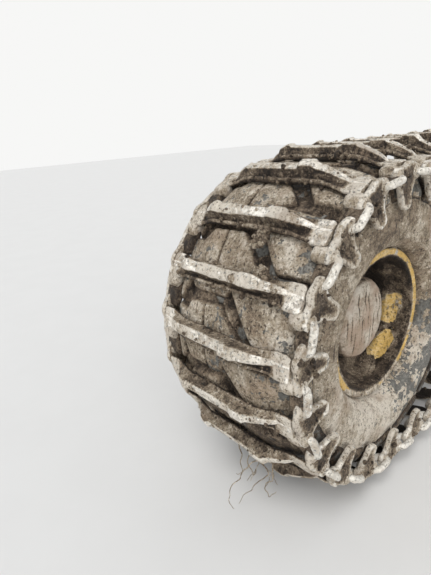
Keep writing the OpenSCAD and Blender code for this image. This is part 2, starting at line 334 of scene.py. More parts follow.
class Surface(Nodes):
    """A material's nodes."""

    def __init__(self, name):
        self.material = bpy.data.materials.new(name)
        super().__init__(self.material)
        self.shader = self.add("ShaderNodeBsdfPrincipled")
        self.join(self.shader.outputs["BSDF"], self.add("ShaderNodeOutputMaterial").inputs["Surface"])
        self.place = self.add("ShaderNodeTexCoord").outputs["Object"]

    def set(self, name, value):
        self.join(value, self.shader.inputs[name])

    def noise(self, scale, detail=4.0, rough=0.6, stretch=(1, 1, 1)):
        place = self.add("ShaderNodeMapping")
        place.inputs["Scale"].default_value = stretch
        self.join(self.place, place.inputs["Vector"])
        node = self.add("ShaderNodeTexNoise")
        self.join(place.outputs["Vector"], node.inputs["Vector"])
        for key, value in (("Scale", scale), ("Detail", detail), ("Roughness", rough)):
            node.inputs[key].default_value = value
        return node.outputs["Fac"]

    def swell(self, *settings):
        """Noise about zero."""
        return self.math("SUBTRACT", self.noise(*settings), 0.5)

    def attribute(self, name):
        return self.add("ShaderNodeAttribute", attribute_name=name).outputs["Fac"]

    def upward(self, vector):
        """Z of a vector."""
        split = self.add("ShaderNodeSeparateXYZ")
        self.join(vector, split.inputs[0])
        return split.outputs["Z"]

    def times(self, a, b):
        return self.math("MULTIPLY", a, b)

    def total(self, *terms):
        """Sum of terms, each a socket or a pair of socket and weight."""
        result = None
        for term in terms:
            value = self.times(*term) if isinstance(term, tuple) else term
            result = value if result is None else self.math("ADD", result, value)
        return result

    def band(self, value, low, high):
        node = self.add("ShaderNodeMapRange", interpolation_type="SMOOTHSTEP")
        self.join(value, node.inputs["Value"])
        node.inputs["From Min"].default_value = low
        node.inputs["From Max"].default_value = high
        return node.outputs["Result"]

    def blend(self, factor, a, b):
        node = self.add("ShaderNodeMix", data_type="RGBA")
        self.join(factor, node.inputs[0])
        for colour, socket in ((a, node.inputs[6]), (b, node.inputs[7])):
            self.join(colour if isinstance(colour, bpy.types.NodeSocket) else (*colour, 1), socket)
        return node.outputs[2]

    def ramp(self, value, stops):
        node = self.add("ShaderNodeValToRGB")
        self.join(value, node.inputs["Fac"])
        for k, (place, colour) in enumerate(stops):
            stop = node.color_ramp.elements[k] if k < 2 else node.color_ramp.elements.new(place)
            stop.position = place
            stop.color = (*colour, 1)
        return node.outputs["Color"]

    def bump(self, height, distance):
        node = self.add("ShaderNodeBump")
        node.inputs["Distance"].default_value = distance
        self.join(height, node.inputs["Height"])
        self.set("Normal", node.outputs["Normal"])


# Mud from wet to dry
SOIL = [(0.0, (0.028, 0.02, 0.014)), (1.0, (0.98, 0.885, 0.75)), (0.2, (0.102, 0.073, 0.051)),
        (0.45, (0.29, 0.222, 0.154)), (0.7, (0.545, 0.445, 0.322))]
WET_CRUMB = (0.06, 0.045, 0.033)
DUST = (0.36, 0.30, 0.225)
# Stretches of noise that make upright strokes and runs
STROKE = (1.0, 1.0, 0.2)
RUN = (1.0, 1.0, 0.12)


def muddy(name, under, under_worn, under_rough, metallic=0.0, contrast=1.0, crumbs=0.45,
          warm=(0.36, 0.25, 0.17), warmth=0.4):
    """Mud over another surface, which shows where the bare attribute is high.

    The noises run from broad patches of 20 cm to grit of 3 mm.
    """
    n = Surface(name)
    swells = (5.0, 3), (15.0, 6, 0.62), (62.0, 5, 0.68), (330.0, 2, 0.5)
    broad, patch, lumps, grit = [n.swell(*settings) for settings in swells]
    dark = n.band(n.noise(88.0, 5, 0.72), 0.575, 0.60)
    pale = n.band(n.noise(115.0, 3, 0.6), 0.595, 0.63)
    strokes = n.band(n.noise(50.0, 3, 0.6, STROKE), 0.615, 0.645)
    level = n.total(n.attribute("tone"), (broad, 0.5 * contrast), (patch, 1.35 * contrast),
                    (lumps, contrast), (grit, 0.5 * contrast), (dark, -crumbs),
                    (strokes, -0.2 * contrast), (pale, 0.26 * contrast))
    tint = n.times(n.band(n.noise(9.0, 4, 0.6), 0.68 - 0.45 * warmth, 0.68), n.band(level, 0.2, 0.55))
    soil = n.blend(n.times(tint, warmth), n.ramp(level, SOIL), warm)
    ragged = (n.swell(11.0, 7, 0.66), 1.7), (n.swell(40.0, 4, 0.6), 0.8)
    clean = n.band(n.total(n.attribute("bare"), *ragged), 0.47, 0.51)
    worn = n.band(n.total(lumps, (broad, 0.5)), -0.03, 0.12)
    skin = n.blend(n.times(dark, 0.6), n.blend(worn, under, under_worn), WET_CRUMB)
    n.set("Base Color", n.blend(clean, soil, skin))
    dry = n.total((n.band(level, 0.05, 0.5), 0.45), 0.5)
    keep = n.math("SUBTRACT", 1.0, clean)
    n.set("Roughness", n.total((n.times(dry, keep), 1.0), (clean, under_rough)))
    if metallic:
        n.set("Metallic", n.times(clean, metallic))
    n.set("Specular IOR Level", 0.35)
    n.bump(n.total((patch, 0.5), (n.times(lumps, keep), 0.9), (dark, 0.14), (pale, 0.05),
                   (n.times(grit, keep), 0.12), (lumps, 0.15), (keep, 0.10)), 0.032)
    return n.material


def painted(name, colour, edge, rough, dust, low_mud=0.0, metallic=0.0):
    """Paint or steel with dust on what faces up, dried splashes of mud, runs and small chips."""
    n = Surface(name)
    swells = (3.0, 4), (13.0, 6, 0.65), (95.0, 4, 0.65), (380.0, 2), (26.0, 4, 0.6, RUN)
    broad, patch, fine, grit, runs = [n.swell(*settings) for settings in swells]
    drops = n.band(n.noise(130.0, 3, 0.6), 0.62, 0.65)
    chips = n.band(n.noise(60.0, 6, 0.75), 0.64, 0.66)
    facing = n.upward(n.add("ShaderNodeNewGeometry").outputs["Normal"])
    film = n.total((facing, 0.26), (broad, 1.0), (patch, 0.9), (runs, 0.9), (fine, 0.5), dust + 0.25)
    film = n.band(film, 0.0, 0.7)
    splash = n.total((patch, 1.7), (fine, 1.0), (facing, 0.10), (n.upward(n.place), -low_mud), dust * 0.6)
    splash = n.math("MAXIMUM", n.band(splash, 0.16, 0.22), n.times(drops, 0.8))
    shade = n.blend(n.band(broad, -0.15, 0.15), colour, tuple(c * 0.72 for c in colour))
    shade = n.blend(chips, shade, edge)
    shade = n.blend(n.times(film, 0.62), shade, DUST)
    soil = n.ramp(n.total((fine, 1.2), (grit, 0.5), (patch, 0.8), 0.50), SOIL)
    n.set("Base Color", n.blend(splash, shade, soil))
    n.set("Roughness", n.total((film, 0.28), (splash, 0.3), (fine, 0.1), rough))
    if metallic:
        n.set("Metallic", n.times(n.math("SUBTRACT", 1.0, splash), metallic))
    crust = n.times(splash, n.total(fine, 0.5))
    n.bump(n.total((crust, 1.0), (splash, 0.35), (fine, 0.06), (chips, -0.08)), 0.007)
    return n.material


CLAY_RUBBER = muddy("muddy_rubber", (0.122, 0.117, 0.103), (0.238, 0.225, 0.196), 0.36,
                    warm=(0.51, 0.375, 0.26), warmth=0.5)
CLAY_STEEL = muddy("muddy_steel", (0.72, 0.66, 0.565), (0.94, 0.88, 0.785), 0.55, metallic=0.06,
                   contrast=1.15)
CLAY_LINK = muddy("muddy_links", (0.70, 0.65, 0.565), (0.88, 0.835, 0.75), 0.55, metallic=0.06, contrast=0.9,
                  crumbs=0.4)
CLAY_YELLOW = muddy("muddy_yellow_paint", (0.66, 0.43, 0.13), (0.76, 0.56, 0.28), 0.45, contrast=1.1)
EARTH = (0.2, 0.165, 0.13), (0.26, 0.215, 0.17), 0.9
CLAY = muddy("thick_mud", *EARTH, crumbs=0.3)
CAKE = muddy("cake_mud", *EARTH, crumbs=0.3, warm=(0.62, 0.445, 0.32), warmth=0.9)
CASE_PAINT = painted("case_paint", (0.075, 0.098, 0.116), (0.2, 0.13, 0.09), 0.42, dust=0.16, low_mud=0.55)
COVER_PAINT = painted("cover_paint", (0.058, 0.075, 0.09), (0.22, 0.15, 0.11), 0.4, dust=0.14, low_mud=0.4)
DARK_STEEL = painted("dark_steel", (0.15, 0.145, 0.14), (0.2, 0.11, 0.06), 0.5, dust=0.2, low_mud=0.3,
                     metallic=0.5)
BRIGHT_STEEL = painted("bright_steel", (0.50, 0.49, 0.47), (0.3, 0.2, 0.13), 0.32, dust=-0.1, metallic=0.85)
YELLOW_PAINT = painted("yellow_paint", (0.55, 0.33, 0.07), (0.25, 0.15, 0.09), 0.45, dust=0.3)


# Tyres

BEAD_W = RIM_W / 2 - RIM_T - 0.004
HALF_LINE = [(0, TREAD_R), (CROWN_W, TREAD_R), (TYRE_HALF - 0.07, TREAD_R - 0.028),
             (TYRE_HALF - 0.02, TREAD_R - 0.085), (TYRE_HALF, TREAD_R - 0.155), (TYRE_HALF, SEAT_R + 0.125),
             (TYRE_HALF - 0.02, SEAT_R + 0.07), (TYRE_HALF - 0.05, LIP_R + 0.01), (BEAD_W, LIP_R + 0.006),
             (BEAD_W, SEAT_R + 0.01)]
TYRE_LINE = smooth_line([(-w, r) for w, r in HALF_LINE[:0:-1]] + HALF_LINE, 0.0095, 0.022)
TYRE_Q = np.concatenate([[0], np.cumsum(np.hypot(*np.diff(TYRE_LINE, axis=0).T))])
TYRE_Q -= TYRE_Q[-1] / 2
TYRE_OUT = to_left(unit(np.gradient(TYRE_LINE, axis=0)))

# Lug outlines: angle in degrees round the tyre against metres across the tread
LUG_OUTLINES = [
    (8.5, [(-8.5, 0.008), (-10.5, 0.12), (-9.5, 0.405), (8.5, 0.405), (10, 0.205)]),
    (19.2, [(-10.5, -0.19), (-10.7, -0.118), (10.5, -0.094), (10.5, -0.19), (0.5, -0.285)]),
    (19.2, [(-10.8, -0.106), (-11, -0.02), (0.5, 0.128), (5, 0.04), (10.5, 0.01), (10.5, -0.082)]),
    (-2, [(-10, -0.232), (-11, -0.405), (10, -0.405), (12, -0.322), (6, -0.245)])]
# Height of the lugs by metres across the tread
LUG_HEIGHT = ([0, 0.19, 0.28, 0.33, 0.37, 0.41, 0.44], [0.038, 0.038, 0.036, 0.030, 0.022, 0.012, 0.006])
# Rings up a lug's side: how far inside its outline against the share of its height
LUG_RINGS = [(-0.012, -0.10), (-0.006, 0.35), (-0.001, 0.8), (0.003, 0.95), (0.009, 1.0), (0.018, 1.0)]
# The side was rubbed bare low down, behind the wheel's middle
RUBBED_TURN = radians(-38)
MOULDED_RING_Q = 0.585


def over_tyre(side, across, lateral, height, turn):
    """Points over the tyre: metres across the tread, metres round it and height over the carcass."""
    w, r = [np.interp(across, TYRE_Q, TYRE_LINE[:, k]) for k in (0, 1)]
    out_w, out_r = [np.interp(across, TYRE_Q, TYRE_OUT[:, k]) for k in (0, 1)]
    r = r + height * out_r
    return on_wheel(side, r, w + height * out_w, turn + lateral / r)


def lug_pattern(outline):
    """A lug's flat pattern: the rings up its side, then the points of its top, with the faces of both."""
    outline = anticlockwise([(TYRE_R * radians(a), q) for a, q in outline])
    rings = [inset_ring(outline, inwards, 0.012, 0.012) for inwards, _ in LUG_RINGS]
    top, tris = fill(rings[-1], 0.017)
    count = len(rings[0])
    share = np.repeat([share for _, share in LUG_RINGS], count)
    points = np.concatenate(rings + [top[count:]])
    share = np.concatenate([share, np.ones(len(points) - len(share))])
    return points, share, grid_quads(len(rings), count), tris + count * (len(rings) - 1)


LUG_PATTERNS = [(radians(turn), lug_pattern(outline)) for turn, outline in LUG_OUTLINES]


def low_down_darkening(points):
    """How much darker the tread is made: most low down."""
    return ramp(-points[:, 2], -0.1, 0.45)


def tyre(side, name):
    """Carcass with crust in its grooves and moulded rings on its sides, and the rows of lugs."""
    shape = Shape()
    across, turn, quads = revolved([TYRE_Q], 300)
    rest = over_tyre(side, across, 0, 0, turn)
    groove = 1 - ramp(abs(across), 0.34, 0.42)
    lumps = fbm(rest, 11, 3, 3)
    rough = fbm(rest, 38, 2, 5)
    rings = 0.0025 * np.cos(np.clip((abs(across) - MOULDED_RING_Q) / 0.014, -1, 1) * pi)
    height = groove * (0.005 + 0.013 * ramp(lumps, -0.3, 0.7) + 0.0025 * rough)
    height = height + (1 - groove) * (0.0025 * lumps + 0.0012 * rough + rings + 0.0025)
    height[abs(across) > TYRE_Q[-1] - 0.03] = 0
    tone = np.where(groove > 0.5, 0.18 - 0.10 * low_down_darkening(rest) + 0.26 * ramp(lumps, -0.2, 0.6),
                    0.63 + 0.30 * ramp(-np.sin(turn), -0.3, 0.7) + 0.14 * fbm(rest, 3, 2, 9))
    rubbed = 0.18 + 0.38 * ramp(np.cos(turn - RUBBED_TURN), 0.55, 0.97)
    rubbed = np.where(abs(across) > 0.33, rubbed, 0.12)
    bare = np.where(groove > 0.5, 0.50 * ramp(-lumps, -0.1, 0.4), rubbed)
    shape.add(over_tyre(side, across, 0, height, turn), quads, tone=tone, bare=bare)
    for row in range(LUG_ROWS):
        for start, (flat, share, quads, tris) in LUG_PATTERNS:
            base = start + row * 2 * pi / LUG_ROWS
            lateral, across = flat.T
            full = np.interp(abs(across), *LUG_HEIGHT)
            spot = over_tyre(side, across, lateral, full, base)
            wear = (0.003 * fbm(spot, 40, 2, 17) + 0.002 * fbm(spot, 14, 1, 19)) * (share < 1)
            lift = full * share + 0.0016 * fbm(spot, 30, 3, 21) * (share > 0.7)
            shoulder = ramp(abs(across), 0.2, 0.34)
            top = ramp(share, 0.6, 1)
            # A lug's foot is painted almost black, painted shade where it meets the carcass; its top is paler
            # dry mud, and it is darker low down on the wheel.
            tone = 0.06 + 0.16 * ramp(share, 0, 0.7) + (0.49 - 0.52 * low_down_darkening(spot) + 0.04 * shoulder) * top
            tone = tone + 0.14 * fbm(spot, 9, 2, 33)
            bare = 0.1 + top * (0.18 + 0.22 * shoulder)
            shape.add(over_tyre(side, across + wear, lateral + wear, lift, base), quads, tris, tone, bare)
    return shape.build(name, CLAY_RUBBER, 55)


# Track

LOOP_L = 4 * AXLE_X + 2 * pi * LINK_R
SHOE_PITCH = LOOP_L / SHOES
HOLE_X = (SHOE_PITCH - LINK_PITCH) / 2
BAR_Z = TYRE_R + TRACK_GAP - LINK_R
BAR_TOP = BAR_Z + BASE_T
END_Z = BAR_TOP - END_DROP
RIB_Z = RIB_R - LINK_R
PLATE_Z = END_Z - 0.014


def loop_at(s):
    """Place on the loop at a length from the front wheel's top: x, z and the turn of a piece there.

    Each half of the loop is a half turn round one wheel and the run from there to the other wheel.
    """
    end, s = divmod(s % LOOP_L, LOOP_L / 2)
    angle = pi * (0.5 + end) + min(s / LINK_R, pi)
    along = (1 - 2 * end) * (max(0, s - pi * LINK_R) - AXLE_X)
    return along + LINK_R * cos(angle), LINK_R * sin(angle), angle


def on_loop(s, points):
    """Moves points from a shoe's own frame, X along the track and Z away from the wheels, onto the loop."""
    x0, z0, angle = loop_at(s)
    points = np.asarray(points, float)
    x = x0 + points[..., 0] * sin(angle) + points[..., 2] * cos(angle)
    z = z0 - points[..., 0] * cos(angle) + points[..., 2] * sin(angle)
    return xyz(x, WHEEL_Y + points[..., 1], z)


def shoe_at(index):
    """Length round the loop at which a shoe sits."""
    return FIRST_SHOE + index * SHOE_PITCH


def lowness(at):
    """How far down a place on the loop is: 1 in the lower run."""
    return ramp(-loop_at(at)[1], 0.50, 0.66)


# Stations along a bar: distance from its middle, then half the plate's width, the plate's top, the rib's
# half width and top, and the height of the lower lip
BAR_STATIONS = np.array([
    [0.000, 0.044, BAR_TOP, 0.0270, RIB_Z, 0.009],
    [0.180, 0.044, BAR_TOP, 0.0270, RIB_Z, 0.009],
    [0.205, 0.044, BAR_TOP - 0.001, 0.0250, RIB_Z - 0.006, 0.008],
    [0.240, 0.044, (BAR_TOP + END_Z) / 2 + 0.002, 0.0215, RIB_Z - 0.022, 0.004],
    [0.275, 0.046, END_Z + 0.003, 0.0180, END_Z + 0.027, 0.000],
    [0.296, 0.051, END_Z + 0.001, 0.0150, END_Z + 0.014, 0.000],
    [0.306, 0.054, END_Z, 0.0110, END_Z + 0.002, 0.000],
    [0.313, 0.055, END_Z, 0.0060, END_Z, 0.000],
    [0.358, 0.055, END_Z, 0.0060, END_Z, 0.000],
    [0.368, 0.050, END_Z - 0.001, 0.0060, END_Z - 0.001, 0.000],
    [0.373, 0.042, END_Z - 0.004, 0.0060, END_Z - 0.004, 0.000]])
RIB_X = 0.011


def station(y, column):
    """A column of the stations, read at places along a bar."""
    return np.interp(abs(y), BAR_STATIONS[:, 0], BAR_STATIONS[:, column])


# Lumps on a rib: place across the track, half length and height
BAR_LUMPS = [(-0.14, 0.046, 0.018), (0.22, 0.040, 0.015)]
# Where a bar's rings lie across the track, closer together on its flat ends
END_STEPS = np.arange(0.373, 0.3, -0.006)
BAR_STEPS = np.concatenate([-END_STEPS, np.arange(-0.3, 0.3001, 0.0125), np.arange(0.3, 0.374, 0.006)[1:]])


def bar_section(half, under, plate, rib, top, lip, sway):
    """Points round a bar: 0 to 3 its underside, then up to the rib's top, 10 to 17, and down to 27."""
    right, left = RIB_X + sway + rib, RIB_X + sway - rib
    tall = np.maximum(top - plate, 0)
    soft = np.minimum(0.008, tall * 0.45)
    peak = plate + tall
    flank = [(0.005, plate + 0.0005), (0.001, plate + tall * 0.25), (-0.001, plate + tall * 0.6),
             (-0.002, peak - soft), (-0.002 - 0.35 * soft, peak - 0.35 * soft), (-0.002 - soft, peak)]
    lower_lip = [(0.018, 0), (0.014, 0.8 * lip), (0.010, lip), (0.004, lip), (0, lip - 0.004)]
    section = [(-half + 0.003, under), (0 * half, under), (half - 0.003, under), (half, under + 0.004),
               (half, plate - 0.004), (half - 0.004, plate)]
    section += [(right + x, z) for x, z in flank]
    section += [(right + (left - right) * k / 5, peak + 0.0008) for k in (1.2, 2, 3, 3.8)]
    section += [(left - x, z) for x, z in reversed(flank)]
    section += [(-half + x, plate + z) for x, z in lower_lip]
    return section + [(-half, under + 0.004)]


def bar(index):
    """One shoe's bar as rings of points across it, in the shoe's own frame, with tone and bare values."""
    y = BAR_STEPS
    half, plate, rib, top, lip = [station(y, k) for k in range(1, 6)]
    seed = 3 * index
    line = xyz(0, y, 0)
    sway = 0.002 * fbm(line + index, 6, 2, seed)
    rib = rib * (1 + 0.10 * fbm(line + index, 14, 2, seed + 1))
    grounded = loop_at(shoe_at(index))[1] < -0.6
    for place, reach, height in BAR_LUMPS:
        swell = ramp(1 - abs(y - place - 0.02 * sin(1.9 * index)) / reach, 0, 0.28)
        top = top + (0 if grounded else height) * swell * (0.75 + 0.25 * sin(2.3 * index + 9 * place))
        rib = rib + 0.003 * swell
    section = bar_section(half, plate - BASE_T + 0.002, plate, rib, top, lip, sway)
    ring = np.stack([xyz(x, y, z) for x, z in section], 1).reshape(-1, 3)
    crust = 0.0016 * fbm(ring + 5 * index, 34, 3, 41) + 0.0012 * fbm(ring + 5 * index, 9, 2, 43)
    order = np.tile(np.arange(len(section)), len(y))
    is_top = (order >= 10) & (order <= 17)
    lower_flank = (order >= 18) & (order <= 20)
    groove = (order >= 21) & (order <= 23)
    foot_shade_and_mud = (order == 3) | (order == 27)
    end = ramp(abs(ring[:, 1]), 0.285, 0.31)
    clods = ramp(fbm(ring + 3 * index, 16, 3, 47), 0.15, 0.6)
    ring[:, 2] += crust * (order > 4) + 0.007 * clods * (groove | (order == 6)) * (1 - end)
    ring[:, 0] += crust * 0.8 * (order > 5)
    # The underside and the feet of the plate's edges are painted dark, painted shade under the bar with wet
    # mud; the groove by the rib's foot and the flank above it are darker too, painted shade in the crevice
    # with the mud that packs it.
    tone = np.select([is_top, groove, foot_shade_and_mud, order < 4, lower_flank], [1.06, 0.18, 0.03, 0.20, 0.34], 0.54)
    tone = tone + (0.98 - tone) * end * (order > 3) - 0.36 * lowness(shoe_at(index))
    tone = tone - 0.22 * ramp(fbm(ring + 2 * index, 20, 3, 51), 0.1, 0.5) * (1 - end)
    bare = np.where(is_top, 0.46, 0.05) + 0.34 * end * (order > 3)
    return ring, len(section), tone, bare


def track_bars():
    """The shoes' bars, with a fan over each end."""
    shape = Shape()
    rows = len(BAR_STEPS)
    for index in range(SHOES):
        ring, cols, tone, bare = bar(index)
        ring = on_loop(shoe_at(index), ring)
        shape.add(ring, grid_quads(rows, cols), tone=tone, bare=bare)
        fan = np.array([[k, (k + 1) % cols, cols] for k in range(cols)])
        for start, flip in ((0, False), ((rows - 1) * cols, True)):
            loop = ring[start:start + cols]
            shape.add(np.concatenate([loop, loop.mean(0)[None]]), tris=faced(fan, flip), tone=0.7)
    return shape.build("track_bars", CLAY_STEEL, 60)


def side_plate_outline():
    """Half circles of the ears, with the guide between them and a raised tab beside the bar."""
    half, tab_z = 0.044, PLATE_Z + 0.012
    turns = np.radians(np.arange(-100, 81, 15))
    right = [(0.016, -GUIDE_H), (0.033, -GUIDE_H + 0.014), (0.038, -GUIDE_H + 0.045), (half, -GUIDE_H / 2)]
    right += [(HOLE_X + EAR_R * cos(a), EAR_R * sin(a)) for a in turns]
    top = [(half - 0.002, tab_z), (0.010, tab_z), (-0.006, PLATE_Z), (-half + 0.004, PLATE_Z)]
    return right + top + [(-x, z) for x, z in right[::-1]]


# Rings over a side plate's edge: how far inside its outline against the share of its half thickness
PLATE_RINGS = [(0.011, -1.0), (0.004, -0.98), (0.0, -0.75), (-0.001, 0.0), (0.0, 0.75), (0.004, 0.98),
               (0.011, 1.0)]


def track_sides():
    """Side plates with their ears and guides, each a little bent and worn."""
    shape = Shape()
    outline = anticlockwise(side_plate_outline())
    rings = [inset_ring(outline, inwards, 0.010, 0.011) for inwards, _ in PLATE_RINGS]
    line = rings[len(rings) // 2]
    face, tris = fill(rings[0], 0.014)
    count = len(line)
    inner = face[count:]
    flat = np.concatenate(rings + [inner, inner])
    level = np.repeat([share for _, share in PLATE_RINGS], count)
    level = np.concatenate([level, np.repeat([-1, 1], len(inner))])
    quads = grid_quads(len(rings), count)
    last = count * (len(rings) - 1)
    low = np.where(tris < count, tris, tris + last)
    high = np.where(tris < count, tris + last, tris + last + len(inner))
    faces = np.concatenate([low[:, ::-1], high])
    hollow = ramp(abs(flat[:, None] - line[None]).max(-1).min(1), 0.008, 0.02)
    guide = ramp(-flat[:, 1], 0.02, 0.06)
    turned = 0.0072 * ramp(-flat[:, 1], 0.06, GUIDE_H)
    rim = (1 - hollow) * (0.4 + 0.6 * (level > -0.9))
    bare = 0.02 + 0.42 * rim
    across, down = flat.T
    spot = xyz(across, level * PLATE_T / 2, down)
    for index in range(SHOES):
        at = shoe_at(index)
        for hand in (-1, 1):
            noise = fbm(spot + 0.37 * (61 + index * 2 + hand), 32, 3, 61)
            dish = hollow * (level > 0) * (0.004 * noise - 0.006 * guide)
            y = hand * (SIDE_Y + level * PLATE_T / 2 + dish + turned) + 0.0012 * noise
            lean = 0.006 * sin(2.1 * index + hand) * ramp(-flat[:, 1], 0.02, GUIDE_H)
            points = xyz(across * (1 + 0.02 * noise) + lean, y, down + 0.0012 * noise)
            tone = 0.29 + 0.62 * rim + 0.1 * noise + 0.16 * (1 - rim) * lowness(at)
            shape.add(on_loop(at, points), faced(quads, hand < 0), faced(faces, hand < 0), tone, bare)
    return shape.build("track_sides", CLAY_STEEL, 60)


# Rings of the mud that closes a link, a slab thinner than the rod: share of the link's size and height
WEB_RINGS = [(0.02, -0.012), (0.6, -0.012), (1.0, -0.006), (1.0, 0.006), (0.6, 0.012), (0.02, 0.012)]
LINK_BEND = 0.020
ROD_SIDES = 12


def link_ring():
    """Middle line of a link with square corners, and the points of the rod round it."""
    leg_y = PLATE_T / 2 + 0.001 + LINK_D / 2
    leg_x = LINK_PITCH / 2 - LINK_BEND
    turns = np.radians(np.linspace(0, 90, 6))
    corner = np.stack([leg_x + LINK_BEND * np.cos(turns), leg_y - LINK_BEND + LINK_BEND * np.sin(turns)], -1)
    leg = np.stack([np.linspace(leg_x, -leg_x, 7)[1:-1], np.full(5, leg_y)], -1)
    half = np.concatenate([corner, leg, corner[::-1] * (-1, 1)])
    path = np.concatenate([half, half * (-1, -1)])
    out = -to_left(unit(np.roll(path, -1, 0) - np.roll(path, 1, 0)))
    spin = circle(ROD_SIDES)
    flat = path[:, None] + out[:, None] * (LINK_D / 2 * np.cos(spin))[:, None]
    rise = np.tile(LINK_D / 2 * np.sin(spin), (len(path), 1))
    return path, np.concatenate([flat, rise[..., None]], -1).reshape(-1, 3)


def track_links():
    """Ring links between the shoes, each a little turned, with the mud that closes them."""
    shape = Shape()
    path, ring = link_ring()
    quads = grid_quads(len(path) + 1, ROD_SIDES) % len(ring)
    inward = ramp(-ring[:, 1], -0.012, 0.012)
    web = [np.column_stack([path * share, np.full(len(path), lift)]) for share, lift in WEB_RINGS]
    web = np.concatenate(web)
    web_quads = grid_quads(len(WEB_RINGS), len(path))
    for index in range(SHOES):
        at = shoe_at(index + 0.5)
        lowest = lowness(at)
        for hand in (-1, 1):
            seed = 0.7 * index + 5 * hand
            noise = fbm(ring + seed, 30, 3, 71)
            points = ring * (1 + 0.03 * noise[:, None]) * (1, hand, 1)
            tilt, roll = 0.10 * sin(2.7 * index + hand), 0.10 * sin(1.7 * index)
            points[:, 2] += 0.0015 * noise
            points[:, 2] += points[:, 0] * tilt + points[:, 1] * roll
            points[:, 1] += hand * SIDE_Y
            # The inboard legs, between the plates and the tyre, are painted darker and muddier: painted shade
            # with mud, spared on the lowest links.
            inboard_shade_and_mud = inward * (1 - lowest)
            tone = 1.0 - 0.7 * inboard_shade_and_mud + 0.08 * noise + 0.1 * lowest
            bare = 0.54 - 0.5 * inboard_shade_and_mud + 0.3 * lowest
            shape.add(on_loop(at, points), faced(quads, hand > 0), tone=tone, bare=bare)
            if lowest < 0.5:
                points = web * (1, hand, 1) + (0, hand * SIDE_Y, 0)
                points[:, 2] += 0.004 * fbm(web + seed, 40, 3, 75)
                shape.add(on_loop(at, points), faced(web_quads, hand > 0), tone=0.2)
    return shape.build("track_links", CLAY_LINK, 80)


def barrel(radius, length):
    """Closed drum about Y with rounded ends, as points and faces."""
    share = np.array([0.0, 0.02, 0.12, 0.3, 0.5, 0.7, 0.88, 0.98, 1.0])
    girth = np.array([0.001, 0.72, 0.95, 1.0, 1.03, 1.0, 0.95, 0.72, 0.001]) * radius
    girth, share, spin, quads = revolved([girth, share], 14)
    return round_y(girth, length * (share - 0.5), spin), quads


def track_bosses():
    """Bosses round the links' holes, and mud that packs the links' inner legs and the inboard gaps."""
    shape = Shape()
    boss, quads = barrel(EAR_R - 0.004, BOSS_T)
    plug, _ = barrel(0.030, 0.062)
    plug_y = SIDE_Y - 0.036
    for index in range(SHOES):
        at = shoe_at(index)
        for hand in (-1, 1):
            for end in (-1, 1):
                points = boss + (end * HOLE_X, hand * SIDE_Y, 0)
                points = points + 0.002 * fbm(points + index, 30, 2, 111)[:, None]
                shape.add(on_loop(at, points), quads, tone=0.80, bare=0.25)
            seed = 1.3 * index + hand
            noise = fbm(plug * 1.2 + seed, 22, 3, 113)
            points = plug * (1.25, 1, 1) * (1 + 0.16 * noise[:, None])
            points = points + (-HOLE_X - 0.004 * sin(seed), hand * plug_y, 0.014)
            tone = 0.74 + 0.26 * ramp(plug[:, 0], -0.03, 0.01) + 0.14 * noise
            shape.add(on_loop(at, points), quads, tone=tone)
        noise = fbm(plug + index, 22, 3, 117)
        points = plug * (2.3, 1, 0.75) * (1 + 0.2 * noise[:, None]) + (0, plug_y, 0.004)
        shape.add(on_loop(shoe_at(index + 0.5), points), quads, tone=0.2)
    return shape.build("track_bosses", CLAY_LINK, 70)


# Clods

def ball():
    """Points of a ball, the faces that join its first 12 points, and the faces that join all 42."""
    golden = (1 + sqrt(5)) / 2
    points = [(s, t * golden, 0) for s in (-1, 1) for t in (-1, 1)]
    points += [(0, s, t * golden) for s in (-1, 1) for t in (-1, 1)]
    points += [(s * golden, 0, t) for s in (-1, 1) for t in (-1, 1)]
    points = [Vector(p).normalized() for p in points]
    near = 1.1
    middle_of, coarse, finer = {}, [], []
    for i, j, k in combinations(range(12), 3):
        a, b, c = points[i], points[j], points[k]
        if max((a - b).length, (b - c).length, (a - c).length) > near:
            continue
        if (b - a).cross(c - a).dot(a) < 0:
            j, k = k, j
        coarse.append((i, j, k))
        halves = []
        for pair in ((i, j), (j, k), (k, i)):
            key = tuple(sorted(pair))
            if key not in middle_of:
                middle_of[key] = len(points)
                points.append((points[key[0]] + points[key[1]]).normalized())
            halves.append(middle_of[key])
        ij, jk, ki = halves
        finer += [(i, ij, ki), (j, jk, ij), (k, ki, jk), (ij, jk, ki)]
    return np.array([p[:] for p in points]), np.array(coarse), np.array(finer)


BALL, GRAIN_TRIS, CLOD_TRIS = ball()
GRAIN_SIZE = 0.0085


def add_clods(shape, places, sizes, chance, tone):
    """Scatters clods at places, each of a size, turned and squashed by chance. Grains have fewer faces."""
    for spot, size in zip(places, sizes):
        turn = np.linalg.qr(chance.normal(size=(3, 3)))[0]
        if np.linalg.det(turn) < 0:
            turn[:, 0] *= -1
        rough, tris = (BALL[:12], GRAIN_TRIS) if size < GRAIN_SIZE else (BALL, CLOD_TRIS)
        lump = rough * (1, chance.uniform(0.6, 1), chance.uniform(0.45, 0.8))
        lump = lump * (1 + 0.28 * value_noise(rough + chance.uniform(0, 50), 1.6, 2))[:, None]
        shape.add(spot + size * lump @ turn.T, tris=tris, tone=tone + chance.uniform(-0.24, 0.20))


